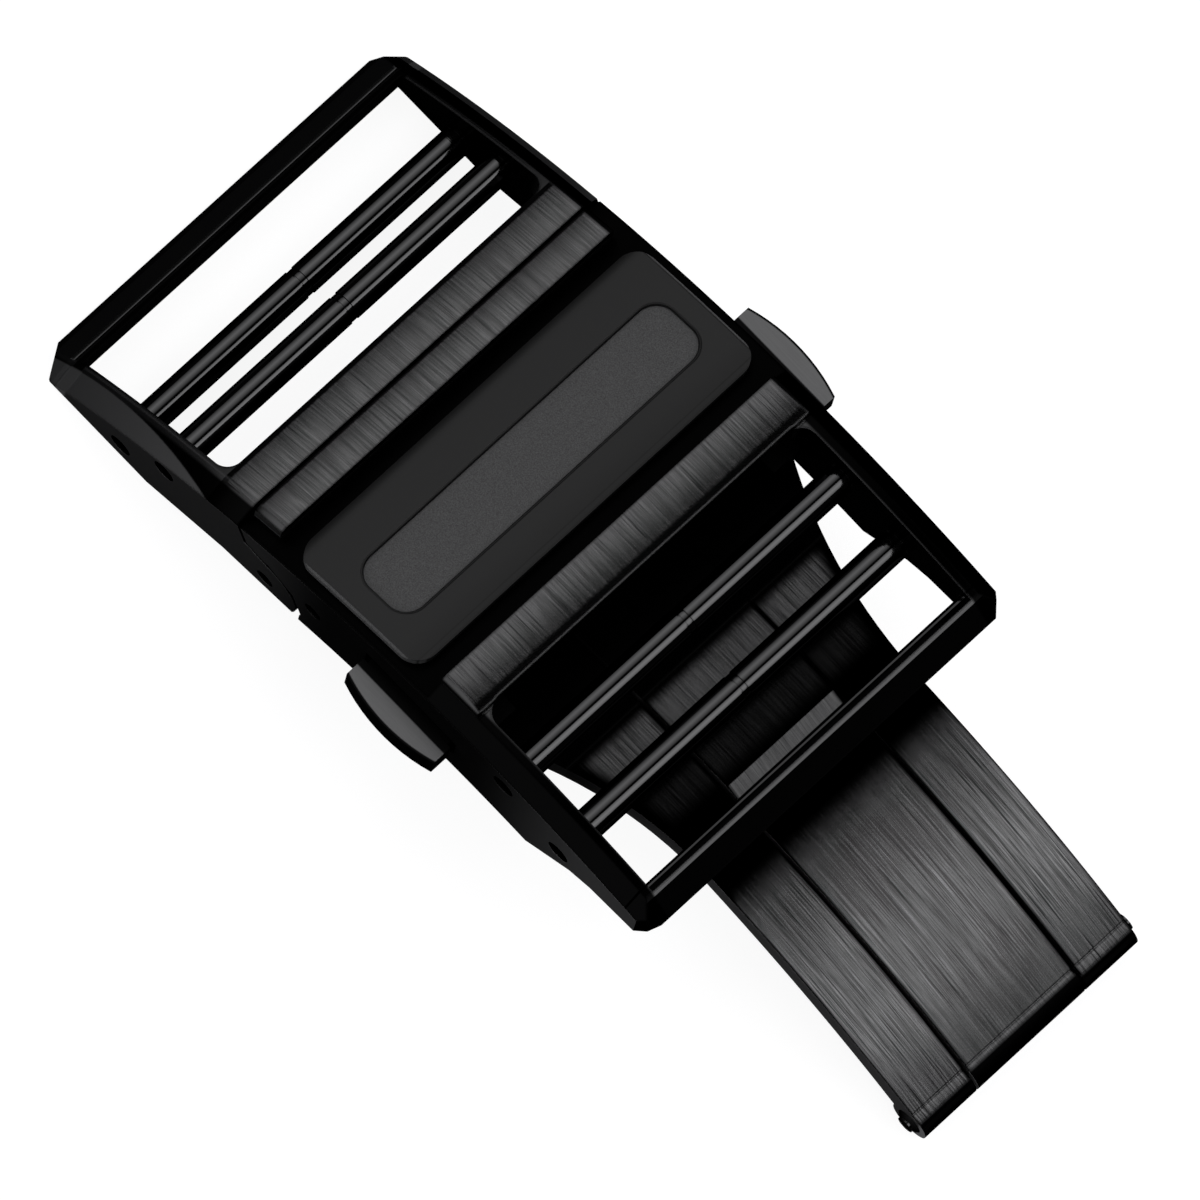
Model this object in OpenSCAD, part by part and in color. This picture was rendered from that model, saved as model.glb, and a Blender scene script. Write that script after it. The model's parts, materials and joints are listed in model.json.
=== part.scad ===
// Folding watch-strap buckle: two strap frames, an arched cover with two push buttons,
// and a fork and tongue blade pair that fold into each other underneath.
// X runs along the strap with the cover's open frame in front, Y across it, Z up from the table.
// Places along the strap are measured from the crown of the arch.

/* [Strap] */
// Clear width between the side walls, for the strap
strap_room = 22.9; // [20.9:0.1:26.9]
// Thickness of each side wall
wall_t = 1.5; // [1.4:0.05:2]
// Diameter of the four strap bars
bar_d = 1.8; // [1.5:0.05:2]
// Gap between each end of a strap bar's barrel and the wall
bar_gap = 0.25; // [0.05:0.05:0.4]
// Diameter of the sprung tips of the strap bars
tip_d = 1.3; // [1:0.05:1.4]
// Distance that a tip can be pushed into its bar
tip_travel = 1; // [0.8:0.05:1.2]

/* [Arch] */
// Radius of the top edge of the side walls
arch_r = 50.1; // [46:0.1:60]
// Height of that edge above the table at the crown
arch_h = 12; // [11.6:0.1:13]
// Depth of the cover's side walls below that edge
cover_depth = 6.5; // [6:0.1:7]

/* [Rear frame] */
// Distance from the crown back to the rear end
rear_end = 33.7; // [33:0.1:35]
// Width of the rear end bar
rear_bar_w = 2; // [1.6:0.1:2.4]
// Width of the brushed crossbar beside the cover
crossbar_w = 2.3; // [2:0.1:2.8]
// Thickness of that crossbar
crossbar_t = 2.8; // [2:0.1:3.2]
// Rise of the rear frame's crown above the wall edge
rear_rise = 1.3; // [0.9:0.05:1.5]
// Width of the bevel along the rear frame's sides
rear_bevel = 1.3; // [0.8:0.05:1.5]

/* [Cover] */
// Distance from the crown back to the seam with the rear frame
seam_back = 19; // [18.6:0.1:19.4]
// Distance from the crown forward to the front end
front_end = 11.5; // [11:0.1:13]
// Width of the front end bar
front_bar_w = 2.1; // [1.6:0.1:2.4]
// Width of the bevel on that bar's inner side
front_bevel = 0.7; // [0.4:0.05:1]
// Thickness of the roof
roof_t = 1.2; // [0.9:0.05:1.4]
// Width of the low ridge behind the plate
rear_ridge_w = 1.9; // [1.5:0.1:2.2]
// Width of the tall ridge in front of the plate
front_ridge_w = 2.7; // [2.2:0.1:3]
// Height of the tall ridge above the trough
front_ridge_h = 1.7; // [1.2:0.05:2]
// Length of the plate along the strap
plate_l = 9.1; // [8.1:0.1:9.3]
// Thickness of the plate
plate_t = 0.7; // [0.5:0.05:1]
// Depth of the bare field sunk into the plate
field_depth = 0.18; // [0.1:0.01:0.3]

/* [Push buttons] */
// Length of a button along the strap
button_l = 6.5; // [5.6:0.1:7]
// Height of a button
button_h = 1.9; // [1.6:0.05:2]
// Distance that a button moves in
button_travel = 0.8; // [0.6:0.05:0.9]
// Diameter of the wire of the button springs
button_wire = 0.25; // [0.2:0.01:0.3]

/* [Blades] */
// Thickness of both blades
blade_t = 1.6; // [1.3:0.05:1.7]
// Outer width of the fork at its front
fork_w = 15.4; // [13:0.1:17]
// Width of the tongue
tongue_w = 7.7; // [6.5:0.1:8.5]
// Radius of the curve that widens the fork under the cover
flare_r = 27.5; // [22:0.5:32]
// Distance from the crown forward to the pin of the folding hinge
knuckle_front = 26.65; // [25.5:0.05:28]
// Radius of the folding hinge's knuckles, which rest on the table
knuckle_r = 1.2; // [1.1:0.05:1.4]
// Diameter of the folding hinge's pin
knuckle_pin_d = 1; // [0.8:0.05:1.1]
// Diameter of the two pins that hold the rear frame and the cover
end_pin_d = 1.1; // [0.9:0.05:1.2]

/* [Clearances] */
// Radial gap of a pin that turns in its bore
running_gap = 0.05; // [0.03:0.01:0.08]
// Radial gap of a pin that is fixed in its bore
fixed_gap = 0.02; // [0.01:0.01:0.03]
// Gap between pieces that pass each other
side_gap = 0.15; // [0.1:0.01:0.2]
// Gap of the seam between the rear frame and the cover
seam_gap = 0.2; // [0.15:0.01:0.3]

/* [Hidden] */
$fn = 48;
// Facets of the long arcs in a preview
arc_fn = 256;
// Overshoot of a cut past the faces that it leaves
over = 1;

// Half widths across the strap
half_in = strap_room / 2;
half_out = half_in + wall_t;
half_blade = half_in - side_gap;
half_tongue = tongue_w / 2;
half_slot = half_tongue + side_gap;

// Height of the arch's axis, and of the wall edge and the arc of radius r at a place u
axis_z = arch_h - arch_r;
function on_arc(r, u) = axis_z + sqrt(r * r - u * u);
function edge_z(u) = on_arc(arch_r, u);

// Radii above the wall edge
rear_crown_r = arch_r + rear_rise;
cover_rise = 0.9;
cover_bevel = 1;
cover_crown_r = arch_r + cover_rise;
trough_r = arch_r + 0.1;
roof_inner_r = trough_r - roof_t;
cover_foot_r = arch_r - cover_depth;

// Places of the seam and of the top features, from the crown
rear_seam_u = -seam_back - seam_gap / 2;
cover_rear_u = -seam_back + seam_gap / 2;
crossbar_u = rear_seam_u - crossbar_w;
front_bar_u = front_end - front_bar_w;
front_ridge_u = -5.3;
roof_front_u = front_ridge_u + front_ridge_w - 0.05;
plate_front_u = front_ridge_u - 1.3;
plate_rear_u = plate_front_u - plate_l;

// Pins and bars, each as a place u and a depth below the wall edge
function below_edge(u, drop) = [u, edge_z(u) - drop];
bars = [
    below_edge(-27.3, 2.35),
    below_edge(-24.3, 1.02),
    below_edge(0.6, 1.5),
    below_edge(4.87, 2.76)
];
frame_pin = below_edge(-16.65, 4.95);
cover_pin = below_edge(-13.3, 3.35);
knuckle = [knuckle_front, knuckle_r];

// Blade arcs: both share a crown, and each falls to its own hinge
blade_crown = [5.5, arch_h - 4.3];
knuckle_fall = blade_crown[1] - knuckle[1] - 1.4;
knuckle_run = knuckle[0] - blade_crown[0];
front_arc_r = (knuckle_run * knuckle_run + knuckle_fall * knuckle_fall) / (2 * knuckle_fall);
rear_fall = blade_crown[1] - frame_pin[1] - 0.37;
rear_run = blade_crown[0] - frame_pin[0];
rear_arc_r = (rear_run * rear_run + rear_fall * rear_fall) / (2 * rear_fall);
function blade_top(u) = blade_crown[1] - rear_arc_r
    + sqrt(rear_arc_r * rear_arc_r - (u - blade_crown[0]) * (u - blade_crown[0]));

// Hinge barrels
frame_barrel_r = end_pin_d / 2 + 0.45;
cover_barrel_r = end_pin_d / 2 + 0.4;
lobe_r = 2.3;

// Tongue: its raised head over the fork's base plate, and its joggle
tongue_lift = 0.33;
head_t = 1.2;
slot_end_u = frame_pin[0] + 5.45;
head_front_u = slot_end_u + 0.7;
ramp_front_u = head_front_u + 2.9;
joggle_u = 8.2;
joggle_l = 0.8;

// Latch: each button's hook passes a window in the fork's wide arm
button_u = -6.15;
button_z = edge_z(button_u) - 3.37;
button_neck_l = button_l - 0.6;
hook_l = 3.2;
hook_t = 0.9;
toe_l = 0.6;
toe_t = 0.7;
window_rim = 1;
window_out = half_blade - window_rim;
hook_out = window_out - 0.1;
window_in = hook_out - hook_t - button_travel - 0.3;
claw_in = hook_out - hook_t - 1.6;
boss_half = 1.5;
spring_r = 0.8;

// Moves the arch's own frame to the middle of the part's length
mid_u = (knuckle[0] + knuckle_r - rear_end) / 2;

steel = [0.13, 0.13, 0.14];
brushed = [0.2, 0.2, 0.21];
satin = [0.32, 0.32, 0.33];
matte = [0.16, 0.16, 0.16];

module centred() translate([-mid_u, 0, 0]) children();

// A side view, drawn as place and height, made w wide across the strap
module across(w) rotate([90, 0, 0]) translate([0, 0, -w / 2]) linear_extrude(w) children();

// A section, drawn as radius and distance across, turned about the arch's axis
module around_arch() translate([0, 0, axis_z]) rotate([90, 0, 0]) rotate_extrude($fn = arc_fn) children();

// A round bar along Y between two distances across
module pin_y(place, r, y0, y1)
    translate([place[0], y1, place[1]]) rotate([90, 0, 0]) cylinder(r = r, h = y1 - y0);

module rounded(size, r) {
    inner = [size[0] - 2 * r, size[1] - 2 * r];
    square([size[0], inner[1]], center = true);
    square([inner[0], size[1]], center = true);
    for (x = [-1, 1], y = [-1, 1]) translate([x * inner[0] / 2, y * inner[1] / 2]) circle(r);
}

// A rounded cut or block in plan, from place u0 to u1, through the whole height
module plan_slab(u0, u1, half, r)
    translate([(u0 + u1) / 2, 0, -over]) linear_extrude(arch_h + 6) rounded([u1 - u0, 2 * half], r);

// An opening in plan, rounded at one end and crisp at the end bar
module plan_opening(round_u, crisp_u, half, r) {
    mid = (round_u + crisp_u) / 2;
    plan_slab(min(round_u, crisp_u), max(round_u, crisp_u), half, r);
    translate([min(mid, crisp_u), -half, -over]) cube([abs(crisp_u - mid), 2 * half, arch_h + 6]);
}

// The ring of the arch between two radii
module arch_ring(r0, r1, w)
    across(w) translate([0, axis_z]) difference() {
        circle(r1, $fn = arc_fn);
        circle(r0, $fn = arc_fn);
    }

// The full-width rim with its bevelled shoulders
module rim(rise, bevel) {
    foot_r = arch_r / 2;
    around_arch() polygon([
        [foot_r, -half_out], [arch_r, -half_out], [arch_r + rise, bevel - half_out],
        [arch_r + rise, half_out - bevel], [arch_r, half_out], [foot_r, half_out]
    ]);
}

// A raised band on the crown, with chamfered ends
module band(r, half, chamfer)
    around_arch() polygon([
        [roof_inner_r, -half], [r - chamfer, -half], [r, chamfer - half],
        [r, half - chamfer], [r - chamfer, half], [roof_inner_r, half]
    ]);

// Outline in plan with its two corners at the end cut off
module cut_corners(end_u, inner_u, cut_x, cut_y) {
    s = sign(end_u - inner_u);
    polygon([
        [inner_u, -half_out], [end_u - s * cut_x, -half_out], [end_u, cut_y - half_out],
        [end_u, half_out - cut_y], [end_u - s * cut_x, half_out], [inner_u, half_out]
    ]);
}

// Corners of the rear frame beside the cover, in side view: the shoulder and the tail to the pin
shoulder = [[rear_seam_u, frame_pin[1] + 4], [rear_seam_u + 0.65, frame_pin[1] + 2.5]];
heel = [frame_pin[0] - 3, frame_pin[1] - 2];
tail_foot = [frame_pin[0] + 2, frame_pin[1] - 0.95];
foot_front_u = -25.2;

// The room that the tail takes in the cover's wall
module tail_room(gap)
    polygon([
        [heel[0] - 1, heel[1]], heel, tail_foot, [frame_pin[0] + gap, frame_pin[1] + lobe_r + gap],
        shoulder[1] + [gap, gap], shoulder[0] + [gap, gap], [heel[0] - 1, shoulder[0][1] + gap]
    ]);

module rear_side() {
    lip = [-rear_end, 0.35];
    ridge_u = -rear_end + 1.45;
    past_ridge = lip + 2 * ([ridge_u, on_arc(rear_crown_r, ridge_u)] - lip);
    top = arch_h + over;
    difference() {
        polygon([
            [-rear_end, 0], lip, past_ridge, [past_ridge[0], top], [rear_seam_u, top],
            shoulder[0], shoulder[1], frame_pin + [0, lobe_r],
            frame_pin + [lobe_r, lobe_r], [frame_pin[0] + lobe_r, tail_foot[1]], tail_foot,
            heel, [foot_front_u, 0]
        ]);
        translate(frame_pin) difference() {
            translate([0, -lobe_r - over]) square([lobe_r + over, 2 * (lobe_r + over)]);
            circle(lobe_r);
        }
    }
}

module rear_strap_frame()
    color(steel) centred() difference() {
        intersection() {
            rim(rear_rise, rear_bevel);
            across(2 * half_out) rear_side();
            linear_extrude(arch_h + 6) cut_corners(-rear_end, 0, 1.1, 1.7);
        }
        plan_opening(crossbar_u, -rear_end + rear_bar_w, half_in, 0.9);
        intersection() {
            across(2 * half_in) translate([crossbar_u - over, -over]) square([20, 20]);
            arch_ring(arch_r / 2, rear_crown_r - crossbar_t, 2 * half_in);
        }
        for (i = [0, 1]) pin_y(bars[i], tip_d / 2 + running_gap, -half_out - over, half_out + over);
        pin_y(frame_pin, end_pin_d / 2 + fixed_gap, -half_out - over, half_out + over);
    }

// Side view of the cover: the deep wall behind, rising to the slim front frame
module cover_side() {
    top = arch_h + 4;
    rise_u = 2.8;
    foot = [rise_u, on_arc(cover_foot_r, rise_u)];
    slope = [3, 2.5];
    lip = [front_end, foot[1] + 5.1];
    end_lean = 0.45;
    ridge_u = front_bar_u + front_bevel;
    past_ridge = lip + 2 * ([ridge_u, on_arc(cover_crown_r, ridge_u)] - lip);
    difference() {
        polygon([
            [cover_rear_u, 0], [foot[0] - slope[0] / 2, 0], foot - slope / 2, foot + slope,
            foot + slope + [1.5, 0.6], [front_end - end_lean, foot[1] + 3.5], lip, past_ridge,
            [past_ridge[0], top], [cover_rear_u, top]
        ]);
        translate([0, axis_z]) circle(cover_foot_r, $fn = arc_fn);
        tail_room(seam_gap);
        translate(frame_pin) circle((lobe_r + seam_gap) / cos(22.5), $fn = 8);
        translate([frame_pin[0] - 10, 0]) square([10 + lobe_r + 1.5 * seam_gap, frame_pin[1]]);
    }
}

// Side view of what the bevel on the front bar's inner side takes off
module front_bevel_side() {
    low = [front_bar_u, on_arc(cover_crown_r, front_bar_u) - 1.6 * front_bevel];
    ridge = [front_bar_u + front_bevel, on_arc(cover_crown_r, front_bar_u + front_bevel)];
    run = ridge - low;
    polygon([low - run / 4, ridge + run / 4, [low[0] - run[0] / 4, ridge[1] + run[1] / 4]]);
}

// Side view of the tall ridge: gently crowned, crisp behind and eased in front
module front_ridge_side() {
    roll_r = 14;
    top_z = on_arc(trough_r + front_ridge_h, front_ridge_u);
    intersection() {
        translate([front_ridge_u + front_ridge_w / 2, top_z - roll_r]) circle(roll_r, $fn = 192);
        translate([front_ridge_u, top_z - 3]) square([front_ridge_w, 3 + over]);
    }
}

module front_cover_frame()
    color(brushed) centred() difference() {
        union() {
            difference() {
                intersection() {
                    rim(cover_rise, cover_bevel);
                    across(2 * half_out) cover_side();
                    linear_extrude(arch_h + 6) cut_corners(front_end, -20, 1, 0.9);
                }
                intersection() {
                    arch_ring(trough_r, trough_r + 5, 2 * half_out + over);
                    across(2 * half_out + over)
                        translate([cover_rear_u - over, 0]) square([front_ridge_u - cover_rear_u + over, 20]);
                }
            }
            intersection() {
                band(trough_r + 1.2, half_out - 1, 0.35);
                across(2 * half_out) intersection() {
                    cover_side();
                    translate([cover_rear_u, 0]) square([rear_ridge_w, 20]);
                }
            }
            intersection() {
                band(trough_r + front_ridge_h, half_out - 1, 0.4);
                across(2 * half_out) front_ridge_side();
            }
        }
        difference() {
            intersection() {
                arch_ring(arch_r / 2, roof_inner_r, 2 * half_in);
                across(2 * half_in) translate([cover_rear_u - over, -over])
                    square([front_bar_u - cover_rear_u - 1, 20]);
            }
            spring_boss();
        }
        plan_opening(roof_front_u, front_bar_u, half_in, 1);
        across(2 * half_in) front_bevel_side();
        for (i = [2, 3]) pin_y(bars[i], tip_d / 2 + running_gap, -half_out - over, half_out + over);
        pin_y(cover_pin, end_pin_d / 2 + fixed_gap, -half_out - over, half_out + over);
        across(2 * half_out + over) translate([button_u, button_z])
            square([button_l + 0.2, button_h + 0.2], center = true);
    }

// Post under the roof that both button springs push against
module spring_boss()
    translate([button_u - 1.3, -boss_half, button_z - 0.95]) cube([2.6, 2 * boss_half, 6]);

module cover_plate() {
    field_rear_u = plate_rear_u + 2.8;
    field_front_u = plate_front_u - 2.3;
    half_plate = half_out - 0.6;
    half_field = half_plate - 1.4;
    corner_r = 1.3;
    top_r = trough_r + plate_t;
    color(matte) centred() difference() {
        intersection() {
            around_arch() polygon([
                [trough_r + fixed_gap, -half_plate], [top_r - 0.2, -half_plate], [top_r, 0.2 - half_plate],
                [top_r, half_plate - 0.2], [top_r - 0.2, half_plate], [trough_r + fixed_gap, half_plate]
            ]);
            plan_slab(plate_rear_u, plate_front_u, half_plate, corner_r);
        }
        intersection() {
            arch_ring(top_r - field_depth, top_r + over, 2 * half_out);
            plan_slab(field_rear_u, field_front_u, half_field, corner_r);
        }
    }
}

// A stretch of blade in side view, from u0 to u1, on an arc of radius r under a crown at top
module blade_arc(r, top, u0, u1)
    intersection() {
        translate(top - [0, r]) difference() {
            circle(r, $fn = arc_fn);
            circle(r - blade_t, $fn = arc_fn);
        }
        translate([u0, 0]) square([u1 - u0, 20]);
    }

// Outline of the fork in plan: slim arms in front, flared out under the cover
module fork_plan() {
    half_fork = fork_w / 2;
    flare_u = 10.9;
    difference() {
        translate([frame_pin[0] - 2, -half_blade]) square([knuckle[0] + 4 - frame_pin[0], 2 * half_blade]);
        for (s = [-1, 1]) {
            translate([flare_u, s * (half_fork + flare_r)]) circle(flare_r, $fn = arc_fn);
            translate([flare_u, s * (half_fork + 10) - 10]) square([30, 20]);
            translate([button_u - hook_l / 2 - 0.3, min(s * window_in, s * window_out)])
                square([hook_l + 1, window_out - window_in]);
        }
        translate([slot_end_u, -half_slot]) square([50, 2 * half_slot]);
    }
}

module outer_blade()
    color(brushed) centred() difference() {
        intersection() {
            union() {
                across(2 * half_blade) {
                    blade_arc(rear_arc_r, blade_crown, frame_pin[0], blade_crown[0]);
                    blade_arc(front_arc_r, blade_crown, blade_crown[0], knuckle[0]);
                }
                pin_y(frame_pin, frame_barrel_r, -half_blade, half_blade);
                pin_y(knuckle, knuckle_r, -fork_w / 2, fork_w / 2);
            }
            linear_extrude(arch_h) fork_plan();
        }
        pin_y(frame_pin, end_pin_d / 2 + running_gap, -half_out, half_out);
        pin_y(knuckle, knuckle_pin_d / 2 + fixed_gap, -half_out, half_out);
    }

// Side view of the tongue's rear: level head on the cover pin, then the ramp into the slot
module head_side() {
    low = cover_pin[1] - head_t / 2;
    high = cover_pin[1] + head_t / 2;
    foot = [ramp_front_u + 0.3, blade_top(ramp_front_u) + tongue_lift];
    inset = 0.1;
    polygon([
        [cover_pin[0], low], [head_front_u, low], foot - [0, blade_t - inset],
        foot - [0, inset], [head_front_u + 0.3, high], [cover_pin[0], high]
    ]);
}

module joggle_side() {
    rear_top = blade_crown[1] + tongue_lift;
    polygon([
        [blade_crown[0], rear_top - blade_t], [joggle_u, rear_top - blade_t],
        [joggle_u + joggle_l, blade_crown[1] - blade_t], [joggle_u + joggle_l, blade_crown[1] - 0.2],
        [joggle_u, rear_top - 0.08], [blade_crown[0], rear_top]
    ]);
}

module inner_blade()
    color(brushed) centred() difference() {
        union() {
            across(tongue_w) {
                blade_arc(rear_arc_r, blade_crown + [0, tongue_lift], ramp_front_u, blade_crown[0]);
                blade_arc(front_arc_r, blade_crown, joggle_u + joggle_l, knuckle[0]);
                joggle_side();
                head_side();
            }
            intersection() {
                across(2 * half_blade) head_side();
                plan_slab(cover_pin[0] - 3, slot_end_u - 0.5, half_blade, 1);
            }
            pin_y(cover_pin, cover_barrel_r, -half_blade, half_blade);
            pin_y(knuckle, knuckle_r, -half_tongue, half_tongue);
        }
        pin_y(cover_pin, end_pin_d / 2 + running_gap, -half_out, half_out);
        pin_y(knuckle, knuckle_pin_d / 2 + running_gap, -half_out, half_out);
    }

module folding_hinge_pin() {
    head_r = 0.8;
    head_t = 0.3;
    seat = fork_w / 2 + fixed_gap;
    color(steel) centred() {
        pin_y(knuckle, knuckle_pin_d / 2, -seat - head_t, seat + head_t);
        for (s = [-1, 1]) translate([knuckle[0], s * seat, knuckle[1]]) rotate([-90 * s, 0, 0])
            rotate_extrude() intersection() {
                translate([0, head_t - head_r * 1.5]) circle(head_r * 1.5);
                square([head_r, head_t]);
            }
    }
}

module rear_frame_hinge_pin()
    color(steel) centred() pin_y(frame_pin, end_pin_d / 2, -half_out + 0.3, half_out - 0.3);

module cover_hinge_pin()
    color(steel) centred() pin_y(cover_pin, end_pin_d / 2, -half_out + 0.3, half_out - 0.3);

// Plan of a button's head: straight flanks and a long shallow bow
module button_head_plan() {
    inner_y = half_out + 0.3;
    end_y = half_out + 1.5;
    bow = 0.5;
    bow_r = (button_l * button_l / 4 + bow * bow) / (2 * bow);
    intersection() {
        translate([button_u - button_l / 2, inner_y]) square([button_l, 3]);
        translate([button_u, end_y + bow - bow_r]) circle(bow_r, $fn = arc_fn);
    }
}

module button_left_form() {
    neck_h = button_h - 0.3;
    claw_h = button_h - 0.3;
    claw_l = button_l + 1.6;
    toe_floor = blade_top(button_u) - blade_t - 0.9;
    translate([0, 0, button_z - button_h / 2]) linear_extrude(button_h) button_head_plan();
    translate([button_u - button_neck_l / 2, half_in - 0.3, button_z - neck_h / 2])
        cube([button_neck_l, wall_t + 0.7, neck_h]);
    translate([button_u - claw_l / 2, hook_out - hook_t, button_z + button_h / 2 - claw_h])
        cube([claw_l, half_blade - hook_out + hook_t, claw_h]);
    translate([button_u - hook_l / 2, claw_in, button_z + button_h / 2 - claw_h])
        cube([hook_l, half_blade - claw_in, claw_h]);
    translate([button_u - hook_l / 2, hook_out - hook_t, toe_floor]) {
        cube([hook_l, hook_t, button_z - toe_floor]);
        intersection() {
            cube([hook_l, hook_t + toe_l, toe_t + 2]);
            translate([blade_crown[0] - button_u + hook_l / 2, 5, blade_crown[1] - rear_arc_r - toe_floor])
                rotate([90, 0, 0]) cylinder(r = rear_arc_r - blade_t - 0.08, h = 10, $fn = arc_fn);
        }
    }
    translate([button_u, claw_in + over, button_z + 0.15]) rotate([90, 0, 0])
        cylinder(r = spring_r - button_wire / 2 - 0.1, h = over + 1.2);
}

module push_button_left() color(satin) centred() button_left_form();

module push_button_right() color(satin) centred() mirror([0, 1, 0]) button_left_form();

// A helical spring along Y, as one closed tube
module coil(r, wire_d, length, turns, steps, sides) {
    rings = turns * steps;
    climb = (length - wire_d) / rings;
    function ring_point(i, j) =
        let (a = 360 * i / steps, b = 360 * j / sides, reach = r + wire_d / 2 * cos(b))
        [reach * cos(a), wire_d / 2 + climb * i + wire_d / 2 * sin(b), reach * sin(a)];
    points = [for (i = [0:rings], j = [0:sides - 1]) ring_point(i, j)];
    walls = [for (i = [0:rings - 1], j = [0:sides - 1])
        let (a = i * sides + j, b = i * sides + (j + 1) % sides)
        each [[a, a + sides, b], [b, a + sides, b + sides]]];
    caps = [for (j = [1:sides - 2])
        each [[0, j, j + 1], [rings * sides, rings * sides + j + 1, rings * sides + j]]];
    polyhedron(points, concat(walls, caps));
}

module button_spring_left()
    color(steel) centred() translate([button_u, boss_half + 0.02, button_z + 0.15])
        coil(spring_r, button_wire, claw_in - boss_half - 0.04, 7, 12, 6);

module button_spring_right() mirror([0, 1, 0]) button_spring_left();

// A strap bar: a hollow barrel with two fine grooves beside a slimmer ring at its middle, and sprung tips
bar_half = half_in - bar_gap;
tip_reach = half_in + 0.6 * wall_t;
tip_root = bar_half - tip_travel - 0.6;
bar_bore_r = tip_d / 2 + running_gap;

ring_half = 0.24;
groove_w = 0.12;
groove_depth = 0.1;

// A groove of width w that starts at y and runs round a barrel
module bar_groove(i, y, w, depth)
    translate([bars[i][0], y, bars[i][1]]) rotate([-90, 0, 0]) difference() {
        cylinder(r = bar_d, h = w);
        cylinder(r = bar_d / 2 - depth, h = w);
    }

module strap_bar_barrel(i)
    color(steel) centred() difference() {
        pin_y(bars[i], bar_d / 2, -bar_half, bar_half);
        pin_y(bars[i], bar_bore_r, -bar_half - over, bar_half + over);
        for (y = [-ring_half, ring_half - groove_w]) bar_groove(i, y, groove_w, groove_depth);
        bar_groove(i, -ring_half, 2 * ring_half, groove_depth / 2);
    }

module strap_bar_tip(i)
    color(steel) centred() difference() {
        pin_y(bars[i], tip_d / 2, tip_root, tip_reach);
        translate([bars[i][0], tip_reach, bars[i][1]]) rotate([90, 0, 0]) difference() {
            cylinder(r = tip_d, h = 0.15);
            cylinder(r1 = tip_d / 2 - 0.15, r2 = tip_d / 2 + 0.01, h = 0.16);
        }
    }

module strap_bar_spring(i)
    color(steel) centred() translate([bars[i][0], 0.02 - tip_root, bars[i][1]])
        coil(tip_d / 2 - 0.15, 0.2, 2 * tip_root - 0.04, 16, 8, 4);

rear_strap_frame();
front_cover_frame();
cover_plate();
outer_blade();
inner_blade();
folding_hinge_pin();
rear_frame_hinge_pin();
cover_hinge_pin();
push_button_left();
push_button_right();
button_spring_left();
button_spring_right();
strap_bar_barrel(0);  // strap_bar_1_barrel
strap_bar_tip(0);  // strap_bar_1_tip_left
mirror([0, 1, 0]) strap_bar_tip(0);  // strap_bar_1_tip_right
strap_bar_spring(0);  // strap_bar_1_spring
strap_bar_barrel(1);  // strap_bar_2_barrel
strap_bar_tip(1);  // strap_bar_2_tip_left
mirror([0, 1, 0]) strap_bar_tip(1);  // strap_bar_2_tip_right
strap_bar_spring(1);  // strap_bar_2_spring
strap_bar_barrel(2);  // strap_bar_3_barrel
strap_bar_tip(2);  // strap_bar_3_tip_left
mirror([0, 1, 0]) strap_bar_tip(2);  // strap_bar_3_tip_right
strap_bar_spring(2);  // strap_bar_3_spring
strap_bar_barrel(3);  // strap_bar_4_barrel
strap_bar_tip(3);  // strap_bar_4_tip_left
mirror([0, 1, 0]) strap_bar_tip(3);  // strap_bar_4_tip_right
strap_bar_spring(3);  // strap_bar_4_spring
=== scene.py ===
# %% [markdown]
# A folding buckle for a 22 mm watch strap, in black coated steel.
# The CAD model is the frame: every solid is already in its place, in metres, and is never moved.
# This script gives each solid its finish, puts copies of the spring coils in place of the
# springs, and then sets the floor, the lamps, the room and the camera.
# The strap runs along X, its width along Y, and Z points away from the wrist.

# %% Load the buckle
import json
import math
import bmesh
import bpy
from mathutils import Matrix, Vector

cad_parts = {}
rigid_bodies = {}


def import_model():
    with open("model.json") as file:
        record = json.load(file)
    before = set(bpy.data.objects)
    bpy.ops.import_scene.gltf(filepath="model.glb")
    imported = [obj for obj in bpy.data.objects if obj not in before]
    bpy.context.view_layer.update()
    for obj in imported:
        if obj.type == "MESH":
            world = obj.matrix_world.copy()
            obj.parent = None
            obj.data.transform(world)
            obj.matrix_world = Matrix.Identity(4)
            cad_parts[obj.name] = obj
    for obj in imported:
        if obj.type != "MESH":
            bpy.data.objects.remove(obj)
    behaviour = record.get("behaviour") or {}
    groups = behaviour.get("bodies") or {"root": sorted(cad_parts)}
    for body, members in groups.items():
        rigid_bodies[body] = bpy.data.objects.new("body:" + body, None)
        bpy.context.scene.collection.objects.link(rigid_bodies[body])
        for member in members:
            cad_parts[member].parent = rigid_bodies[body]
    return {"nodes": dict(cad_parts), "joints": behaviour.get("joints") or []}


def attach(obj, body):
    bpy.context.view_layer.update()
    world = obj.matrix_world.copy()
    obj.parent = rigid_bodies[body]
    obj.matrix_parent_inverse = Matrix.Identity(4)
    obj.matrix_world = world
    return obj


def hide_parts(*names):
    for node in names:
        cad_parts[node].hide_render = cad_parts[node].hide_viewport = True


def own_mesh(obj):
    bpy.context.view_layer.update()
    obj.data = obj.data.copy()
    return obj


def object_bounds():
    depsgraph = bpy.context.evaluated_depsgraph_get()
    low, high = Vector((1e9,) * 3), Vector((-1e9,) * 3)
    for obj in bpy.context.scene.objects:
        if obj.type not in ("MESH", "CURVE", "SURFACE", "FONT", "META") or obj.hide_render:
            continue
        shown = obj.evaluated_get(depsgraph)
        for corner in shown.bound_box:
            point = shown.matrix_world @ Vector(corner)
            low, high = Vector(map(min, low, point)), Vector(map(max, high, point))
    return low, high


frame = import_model()
cad_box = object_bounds()
MM = 0.001
nodes = frame["nodes"]
print("pieces:", len(nodes), "box in mm:", [[round(v / MM, 2) for v in corner] for corner in cad_box])

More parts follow.
